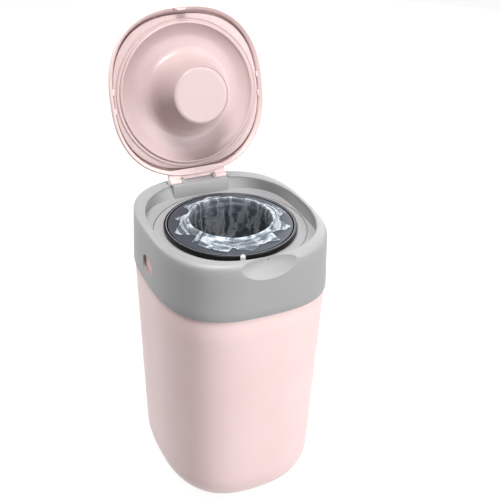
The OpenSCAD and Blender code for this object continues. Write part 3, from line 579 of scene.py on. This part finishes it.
def make_tub():
    """The bucket: floor, deep rounding, tapered wall, ledge, neck and the pockets of the tabs."""
    turns = [math.radians(90) * i / 14 for i in range(15)]
    rounding = [base_ring(turn) for turn in reversed(turns)]
    inside = [base_ring(turn, WALL) for turn in turns]
    straight = LEDGE_Z - TUB_LOW - BASE_ROUND
    levels = [TUB_LOW + BASE_ROUND + straight * k / 8 for k in range(1, 9)]
    bm = loft([centre(2.0, 0.0), squared(*PAD, 2.0), squared(*PAD, TUB_LOW)] + rounding
              + [tub_ring(z) for z in levels[:-1]]
              + [tub_ring(LEDGE_Z - 0.8), tub_ring(LEDGE_Z - 0.25, 0.2), tub_ring(LEDGE_Z, 0.8),
                 collar_ring(LEDGE_Z, NECK_IN), collar_ring(NECK_Z - 1.2, NECK_IN),
                 collar_ring(NECK_Z, NECK_IN + 1.2), collar_ring(NECK_Z, NECK_IN + WALL - 0.6),
                 collar_ring(NECK_Z - 1, NECK_IN + WALL), collar_ring(LEDGE_Z - 2, NECK_IN + WALL)]
              + [tub_ring(z, WALL) for z in reversed(levels[:-1])] + inside
              + [centre(TUB_LOW + WALL, 0.0)])
    pockets, rooms = [], []
    for side in (-1, 1):
        far = sorted((side * POCKET_X, side * (TAB_FACE - 1.5)))
        room = sorted((side * (POCKET_X + 2), side * (TAB_STOP + 0.5)))
        bar = sorted((side * (POCKET_X + 2), side * 124.0))
        pockets.append(around_window(far, 22.5, 17.5))
        rooms.append(around_window(room, 20.5, 15.5))
        rooms.append(window_bar(0.6, *bar))
    bm = shaped(shaped(bm, pockets, "UNION"), rooms)
    add_piece("tub_bucket", bm, "tub", FINISH["pink_shell"], ["tub"])


# Collar

def make_collar():
    """One shell: flared side, shoulder, rim, dished inner wall and deck, with ledge and scoop."""
    outside, inside = squared(*COLLAR, 0.0), squared(*MOUTH, 0.0, MOUTH_Y)
    foot = squared(*MOUTH_FOOT, DECK_Z, AXIS_Y)
    shoulder = eased([(0, SHOULDER), (0.07, 4.64), (0.2, 2.4), (0.36, 1.04), (0.5, 0.64)], 4)
    land = [(0.515, 0.5), (0.53, 0.1), (0.55, 0.0), (0.7, 0.0), (0.88, 0.0)]
    edge = eased([(0.9, 0.02), (0.95, 0.2), (0.985, 0.55), (1.0, 1.0)], 2)
    wall = eased([(0.0, 0.06), (0.08, 0.26), (0.46, 0.6), (0.86, 0.93), (0.97, 0.995)], 5)[1:]
    rim = list(map(tuple, shoulder)) + land + list(map(tuple, edge))
    side = [COLLAR_Z + (SHOULDER_Z - COLLAR_Z) * k / 6 for k in range(1, 6)]
    bm = loft(
        [collar_ring(COLLAR_Z, 0.6), collar_ring(COLLAR_Z + 0.2, 0.15), collar_ring(COLLAR_Z + 0.6)]
        + [collar_ring(z) for z in side]
        + [between(outside, inside, share, RIM_Z - drop) for share, drop in rim]
        + [between(inside, foot, share, RIM_Z - (RIM_Z - DECK_Z) * drop) for share, drop in wall]
        + [foot, circle(RECESS_R, DECK_Z), circle(RECESS_R, RECESS_Z), circle(HOLE_R, RECESS_Z),
           circle(HOLE_R, DECK_UNDER), collar_ring(DECK_UNDER, WALL), collar_ring(COLLAR_Z + 0.6, WALL),
           collar_ring(COLLAR_Z, WALL - 0.6)], loop=True)
    ledge = plate([(-SHELF_HALF, y, z) for y, z in
                   [(99.2, RIM_Z), (96.6, DECK_Z - 0.5), (119, DECK_Z - 0.5), (119, RIM_Z)]],
                  (2 * SHELF_HALF, 0, 0))
    soften(ledge, 0.5, 20.0)
    bosses = [rod(sorted((side * x, side * (x + 4))), HINGE_Y, HINGE_Z, 4.4)
              for side in (-1, 1) for x in (21.6, 42.4)]
    bm = shaped(bm, [ledge] + bosses, "UNION")
    profile = [(SCOOP_SWEEP - SCOOP_ARC + SCOOP_ARC * math.sin(t), -SCOOP_ARC * math.cos(t))
               for t in [math.radians(90) * i / 28 for i in range(29)]]
    profile += [(SCOOP_SWEEP, 5.0), (SCOOP_SWEEP - SCOOP_ARC, 5.0)]
    scoop = turned(profile, SCOOP_Y - SCOOP_SWEEP, 360, RIM_Z)
    pockets = [block(sorted((side * 25.6, side * 42.4)), (104.4, 118.6), (408.8, 422), 0)
               for side in (-1, 1)]
    windows = [window_bar(0.0, *sorted((side * 104.0, side * 128.0))) for side in (-1, 1)]
    hole = rod((-6, 9), 0, 0, 1.9, 0)
    quarter = Matrix.Rotation(math.radians(90), 3, "Z")
    bmesh.ops.rotate(hole, cent=(0, 0, 0), matrix=quarter, verts=hole.verts)
    bmesh.ops.translate(hole, vec=(0, SCOOP_Y, 411.0), verts=hole.verts)
    bm = shaped(bm, [scoop] + pockets + windows + [hole])
    add_piece("collar_moulding", bm, "collar", FINISH["grey_shell"], ["collar"])


# Lid

def lid_ring(inset, up):
    return squared(LID[0] - inset, LID[1] - inset, LID[2], RIM_Z + up, LID_Y)


def lid_dome(share, up):
    return squared((LID[0] - DOME_IN) * share, (LID[1] - DOME_IN) * share, LID[2], RIM_Z + up, LID_Y)


def make_lid_shell():
    """The domed lid with its broad inner lip, hinge strip, arms and the hooks for the panel."""
    side = eased([(1.4, 0.5), (0.3, 1.7), (0, 4), (0.7, 8), (2.8, 12), (6.6, 15.4), (12, 17.8)], 3)
    dome = eased([(1.0, 17.8), (0.85, 19.4), (0.5, 21.3), (0.06, DOME_TOP)], 4)[1:]
    under = eased([(0.06, DOME_UNDER), (0.5, 18.9), (0.85, 17.0), (1.018, 15.4)], 4)[:-1]
    inner = eased([(12.6, 15.4), (8.2, 13.4), (6.1, 11.6), (5.9, 8.6), (5.8, 5.6), (5.0, 3.6),
                   (3.6, 2.2), (2.4, 1.0)], 3)
    bm = loft([centre(RIM_Z + DOME_TOP, LID_Y)]
              + [lid_dome(*p) for p in reversed(dome)] + [lid_ring(*p) for p in reversed(side)]
              + [lid_ring(1.7, 0.35), lid_ring(2.1, 0.5)] + [lid_ring(*p) for p in reversed(inner)]
              + [lid_dome(*p) for p in reversed(under)] + [centre(RIM_Z + DOME_UNDER, LID_Y)])
    strip = shaped(block((-42, 42), (93.1, 104.8), (416.5, 418.5), 0.5),
                   [block((-21, 21), (93.2, 107.5), (416.5, 418.5), 0.5)], "UNION")
    strip = shaped(strip, [block((-0.5, 0.5), (92, 109), (415, 417.3), 0)])
    parts = []
    for side_of in (-1, 1):
        x = side_of * ARM_X - ARM_HALF
        arm = plate([(x, HINGE_Y + y, HINGE_Z + z) for y, z in
                     [(-12, 2.5), (-12, 9), (-3, 7), (0, 4.0), (0, 0), (-4, 1)]], (2 * ARM_HALF, 0, 0))
        knuckle = rod((x, x + 2 * ARM_HALF), HINGE_Y, HINGE_Z, KNUCKLE_R)
        parts += [arm, knuckle]
        for y in (-25, 1):
            hook = sorted((side_of * 104.5, side_of * 109.5))
            parts.append(block(hook, (y - 4, y + 4), (418.2, 420.0), 0.4))
    pins = [rod((x - 16, x + 16), HINGE_Y, HINGE_Z, PIN_HOLE_R, 0) for x in (-ARM_X, ARM_X)]
    bm = shaped(shaped(bm, [strip] + parts, "UNION"), pins)
    add_piece("lid_moulding", swing_open(bm), "lid", FINISH["pink_lid"], ["lid_shell"])


def make_lid_panel():
    """The panel under the dome: flat rim, ring ridge, bowl and the plunger in the middle."""
    base_r, end_r, bowl, deep = 50.0, 37.0, 14.0, -50.0
    plunger = eased([(end_r + 1.2, deep + 1.6), (end_r + 2.4, deep + 5), (base_r - 3.2, bowl - 20),
                     (base_r - 1, bowl - 13), (base_r + 1.8, bowl - 7), (base_r + 6, bowl - 2.6),
                     (base_r + 13, bowl - 0.2), (RIDGE_R - 25, bowl - 0.4), (RIDGE_R - 16, bowl - 2.2),
                     (RIDGE_R - 8, bowl - 6), (RIDGE_R - 3, 4.4), (RIDGE_R - 1.6, 2.4), (RIDGE_R, 2.0),
                     (RIDGE_R + 1.4, 2.8), (RIDGE_R + 2.2, PANEL_Z)], 4)
    front = [(end_r - 12, deep + 0.1), (end_r - 8, deep + 0.05), (end_r - 5, deep), (end_r - 2, deep),
             (end_r - 0.2, deep + 0.5)]
    back = [(RIDGE_R + 2, 8), (RIDGE_R - 1.6, 8), (RIDGE_R - 6.6, bowl - 4.4),
            (RIDGE_R - 15.4, bowl - 0.2), (RIDGE_R - 25, bowl + 1.6), (base_r + 12, bowl + 1.8),
            (base_r + 4.6, bowl - 0.8), (base_r - 0.4, bowl - 5.6), (base_r - 5.4, bowl - 19),
            (end_r + 0.2, deep + 6), (end_r - 1, deep + 3)]

    def turn(points):
        return [circle(r, RIM_Z + z, RIDGE_Y) for r, z in points]

    def outline(inset, z):
        return squared(PANEL[0] - inset, PANEL[1] - inset, PANEL[2], RIM_Z + z, LID_Y)

    bm = loft([centre(RIM_Z + deep + 0.1, RIDGE_Y)] + turn(front) + turn(map(tuple, plunger))
              + [outline(0.7, PANEL_Z), outline(0.2, PANEL_Z + 0.2), outline(0, PANEL_Z + 0.7),
                 outline(0, PANEL_Z + 4.6), outline(0.4, PANEL_Z + 5), outline(1.6, PANEL_Z + 5),
                 outline(2, PANEL_Z + 4.6), outline(2, PANEL_Z + 2)]
              + turn(back) + [centre(RIM_Z + deep + 3, RIDGE_Y)])
    add_piece("lid_inner_panel", swing_open(bm), "lid", FINISH["pink_panel"],
              ["lid_panel"], 50.0)


# Cassette

def make_cassette():
    """The refill's black box with its skirt, and the slate cap over the stored film."""
    box = turned([(62, 339), (62, 395.5), (60.8, 395.5), (60, 394), (60, 337), (79.5, 337),
                  (79.5, 398.2), (87, 398.2), (87, 397), (89, 397), (89, 402), (88.2, CAP_Z),
                  (84.8, CAP_Z), (83.9, 402.2), (83.4, 401), (77.5, 400), (77.5, 339)])
    soften(box, 0.35, 20.0, 3)
    add_piece("cassette_shell", box, "cassette", FINISH["black_gloss"], ["cassette_box"])
    cap = turned([(57, 387), (58.2, 387), (58.4, 398), (61, 400.4), (78.5, 400.4), (79.5, 401.4),
                  (83, 401.6), (83, 402.6), (82.2, CAP_Z), (65, CAP_Z), (61.4, 402.4),
                  (58.6, 400.6), (57.3, 398)])
    soften(cap, 0.5, 15.0, 3)
    add_piece("cassette_top_ring", cap, "cassette", FINISH["slate"], ["cassette_cap"])


# The turn in degrees, and the radius that the film's edge reaches there
FLAPS = [(-180, 79), (-176, 75), (-171, 66), (-165, 60), (-158, 60), (-155, 74), (-151, 61), (-147, 74),
         (-131, 75), (-124, 78), (-116, 78), (-111, 67), (-105, 73), (-97, 75), (-93, 80), (-87, 76),
         (-82, 69), (-71, 70), (-63, 76), (-59, 78), (-54, 67), (-48, 60.5), (-42, 64), (-35, 76),
         (-30, 80), (-24, 72), (-18, 65), (-8, 68), (-1, 79), (4, 79), (17, 76), (28, 68), (40, 74),
         (52, 66), (64, 73), (74, 70), (83, 78), (90, 79), (102, 72), (112, 72), (122, 78), (128, 64),
         (140, 62), (148, 63), (151, 74), (156, 66), (164, 68), (175, 74), (180, 79)]


def film_edge(angle):
    """Radius of the film's ragged edge: broad flaps with pointed corners, deep notches between them."""
    turn = math.degrees(angle)
    for (start, low), (stop, high) in zip(FLAPS, FLAPS[1:]):
        if start <= turn <= stop:
            t = (turn - start) / (stop - start)
            spot = Vector((math.cos(angle), math.sin(angle), 0.4))
            return low + (high - low) * t * t * (3 - 2 * t) + 0.9 * noise.noise(spot * 24)
    return FLAPS[0][1]


def about_axis(angle, radius, height):
    """A point round the cassette's own axis."""
    return Vector((radius * math.cos(angle), AXIS_Y + radius * math.sin(angle), height))


def film_fold(angle, radius):
    """Height of the folds in the gathered film, all upward."""
    broad = Vector((math.cos(angle) * 2.4, math.sin(angle) * 2.4, radius * 0.1))
    fine = Vector((math.cos(angle) * 6.0, math.sin(angle) * 6.0, radius * 0.22 + 7))
    return (1.7 * max(0.0, 1 - 3.2 * abs(noise.noise(broad)))
            + 0.9 * max(0.0, 1 - 3.2 * abs(noise.noise(fine))))


def make_film():
    """The loose film: gathered over the cap, over its own puffed lip, down the core and twisted shut."""
    down = eased([(55.2, THROAT_TOP), (54.9, 405), (54.7, 398), (54.3, 389), (53.3, 373), (50, 353),
                  (39, 337), (23, 328), (15, 315.5), (11, 299), (9, 292)], 7)

    def lip_wave(angle):
        return 0.9 * noise.noise(Vector((math.cos(angle) * 2.6, math.sin(angle) * 2.6, 9.0)))

    def over_cap(share):
        def point(angle):
            edge = film_edge(angle)
            radius = edge + (LIP_R - edge) * share
            foot = min(edge, 76.0)
            rise = max(0.0, foot - radius) / max(1.0, foot - LIP_R)
            loose = min(1.0, (1 - share) * 3.5) * min(1.0, 0.3 + share * 3)
            curl = 1.4 * max(0.0, 1 - share / 0.1) * abs(noise.noise(Vector((angle * 3, 0.0, 2.0))))
            height = (FILM_LOW + (LIP_Z - FILM_LOW) * rise ** 1.2 + film_fold(angle, radius) * loose
                      + curl + lip_wave(angle) * rise)
            return about_axis(angle, radius, height)
        return point

    def lip(radius, height):
        return lambda angle: about_axis(angle, radius, height + lip_wave(angle))

    def inside(radius, height):
        share = (THROAT_TOP - height) / THROAT_LENGTH
        twist = max(0.0, share - 0.45) * 3.4

        def point(angle):
            spot = Vector((math.cos(angle) * 2.2, math.sin(angle) * 2.2, share * 0.8))
            thin = Vector((math.cos(angle) * 6, math.sin(angle) * 6, share * 0.9 + 4))
            fold = (noise.noise(spot) * 2.4 + noise.noise(thin) * 0.9) * min(1.0, 0.12 + share * 2.0)
            fold = min(fold, 0.6) * min(1.0, radius / 30)
            turn = angle + twist
            reach = radius - 0.6 + fold
            lift = lip_wave(angle) * max(0.0, 1 - share * 9)
            return about_axis(turn, reach, height + lift)
        return point

    bm = loft([over_cap(k / 26) for k in range(27)]
              + [lip(56.9, 412.0), lip(56.2, 412.1), lip(55.6, 411.6), lip(55.3, 410.8)]
              + [inside(*p) for p in down], count=480)
    paint_film(bm)
    film = add_piece("film_sleeve", bm, "cassette", FINISH["film"], ["film_liner"], 0)


def paint_film(bm):
    """Marks how milky the film is, and how it lies for its folds."""
    milk = bm.verts.layers.float.new("milkiness")
    lie = bm.verts.layers.float_vector.new("lie")
    turned_by = bm.verts.layers.float["angle"]
    for vert in bm.verts:
        angle = vert[turned_by]
        radius = math.hypot(vert.co.x, vert.co.y - AXIS_Y)
        across, along = math.cos(angle), math.sin(angle)
        if radius > 56.2:
            edge = film_edge(angle)
            patchy = noise.noise(Vector((across * 2.0, along * 2.0, radius * 0.05)))
            vert[milk] = 0.42 + 0.3 * patchy + (0.34 if edge - radius < 0.9 else 0.0)
            if edge < 64:
                vert[milk] *= 0.5
            vert[lie] = (across, along, (LIP_R - radius) / 20)
        else:
            depth = LIP_Z - vert.co.z
            vert[milk] = max(0.1, 0.2 - depth * 0.001)
            vert[lie] = (across, along, max(0.0, depth) / 20)
        if vert.co.z > 409:
            vert[milk] += 0.3 * math.exp(-((radius - 56.6) / 0.8) ** 2)


# Solids shown as they are

NODE_FINISH = {
    "base_pad": "rubber", "release_tab_left": "pink_tab", "release_tab_right": "pink_tab",
    "release_spring_left": "steel", "release_spring_right": "steel", "carrier": "grey_inner",
    "carrier_screws": "steel", "gripper_fingers": "gripper", "gripper_clamp": "grey_inner",
    "clamp_screws": "steel", "click_pawl": "natural_plastic", "hinge_pins": "steel",
    "cutter_rail": "grey_inner", "cutter_slider": "cutter_red", "cutter_blade": "steel",
    "turntable": "grey_deck", "turntable_clip_ring": "natural_plastic",
    "locating_peg": "natural_plastic", "film_pack": "packed_film", "lid_seal": "lid_seal",
    "lid_catch": "pink_lid",
}


def finish_nodes():
    """Puts the finishes on the solids that the scene shows as they are."""
    for name, finish in NODE_FINISH.items():
        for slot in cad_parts[name].material_slots:
            slot.material = FINISH[finish]


# Camera, floor and light

VIEW_TURN = math.radians(-24.820959)
VIEW_LIFT = math.radians(30.171584)
VIEW_ROLL = math.radians(1.5755515)
VIEW_DISTANCE = 1.3
VIEW_MIDDLE_Z = 0.35798865
VIEW_ASIDE = 0.029910706
FOCAL_SHARE = 957.6854597 / 500
SENSOR = 36
LAMP_TARGET = Vector((0, 0, 0.3))


def set_camera():
    """The photograph's view: 1.3 m away, from the front left and above."""
    right = Vector((math.cos(VIEW_TURN), math.sin(VIEW_TURN), 0.0))
    back = Vector((math.sin(VIEW_TURN) * math.cos(VIEW_LIFT),
                   -math.cos(VIEW_TURN) * math.cos(VIEW_LIFT), math.sin(VIEW_LIFT)))
    up = back.cross(right)
    across = right * math.cos(VIEW_ROLL) + up * math.sin(VIEW_ROLL)
    upright = up * math.cos(VIEW_ROLL) - right * math.sin(VIEW_ROLL)
    data = bpy.data.cameras.new("camera")
    data.lens = FOCAL_SHARE * SENSOR
    data.sensor_width = SENSOR
    data.clip_end = 30
    camera = bpy.data.objects.new("camera", data)
    spot = Vector((0, 0, VIEW_MIDDLE_Z)) + right * VIEW_ASIDE + back * VIEW_DISTANCE
    frame_of = Matrix((across, upright, back)).transposed().to_4x4()
    camera.matrix_world = Matrix.Translation(spot) @ frame_of
    bpy.context.scene.collection.objects.link(camera)
    bpy.context.scene.camera = camera


def lamp(name, place, size, power):
    """A softbox that points at the bin."""
    data = bpy.data.lights.new(name, "AREA")
    data.shape = "RECTANGLE"
    data.size, data.size_y = size
    data.energy = power
    lamp_object = bpy.data.objects.new(name, data)
    aim = (LAMP_TARGET - Vector(place)).to_track_quat("-Z", "Y")
    lamp_object.matrix_world = Matrix.Translation(place) @ aim.to_matrix().to_4x4()
    bpy.context.scene.collection.objects.link(lamp_object)


def seen_rays(nodes, links):
    """1 for rays that are seen, straight or in a reflection or through something clear."""
    rays = nodes.new("ShaderNodeLightPath").outputs
    found = rays["Is Camera Ray"]
    for name in ("Is Glossy Ray", "Is Transmission Ray"):
        found = maths(nodes, links, "MAXIMUM", found, rays[name])
    return found


def set_light():
    lamp("overhead_softbox", (-0.3, -0.4, 2.3), (0.9, 0.9), 49)
    lamp("front_right_high_softbox", (1.2, -1.4, 1.9), (0.8, 0.8), 11)
    lamp("front_right_softbox", (1.45, -1.85, 0.8), (0.8, 1.2), 23)
    lamp("low_front_softbox", (0.5, -2.3, 0.4), (0.8, 0.8), 14)
    lamp("rear_left_softbox", (-1.5, 1.6, 0.9), (0.8, 1.6), 22)
    lamp("rear_right_softbox", (1.5, 1.7, 1.1), (0.8, 1.6), 14)
    world = bpy.data.worlds.new("studio")
    world.use_nodes = True
    nodes, links = world.node_tree.nodes, world.node_tree.links
    strength = spread(nodes, links, seen_rays(nodes, links), 0.02, 1.0, 0.0, 1.0)
    links.new(strength, nodes["Background"].inputs["Strength"])
    nodes["Background"].inputs["Color"].default_value = (1.0, 1.0, 1.0, 1.0)
    bpy.context.scene.world = world


def make_floor():
    bm = bmesh.new()
    bmesh.ops.create_grid(bm, x_segments=4, y_segments=4, size=6.0)
    mesh = bpy.data.meshes.new("floor")
    bm.to_mesh(mesh)
    bm.free()
    floor = bpy.data.objects.new("floor", mesh)
    bpy.context.scene.collection.objects.link(floor)
    made, nodes, links, shader = material("pale_floor")
    shader.inputs["Base Color"].default_value = (0.35, 0.35, 0.35, 1.0)
    shader.inputs["Roughness"].default_value = 0.9
    shader.inputs["Specular IOR Level"].default_value = 0.1
    shader.inputs["Emission Color"].default_value = (1.0, 1.0, 1.0, 1.0)
    glow = maths(nodes, links, "MULTIPLY", seen_rays(nodes, links), 0.86)
    links.new(glow, shader.inputs["Emission Strength"])
    mesh.materials.append(made)


set_camera()
set_light()
make_floor()
make_tub()
make_collar()
make_lid_shell()
make_lid_panel()
make_cassette()
make_film()
finish_nodes()

bpy.context.scene.view_settings.view_transform = "Standard"
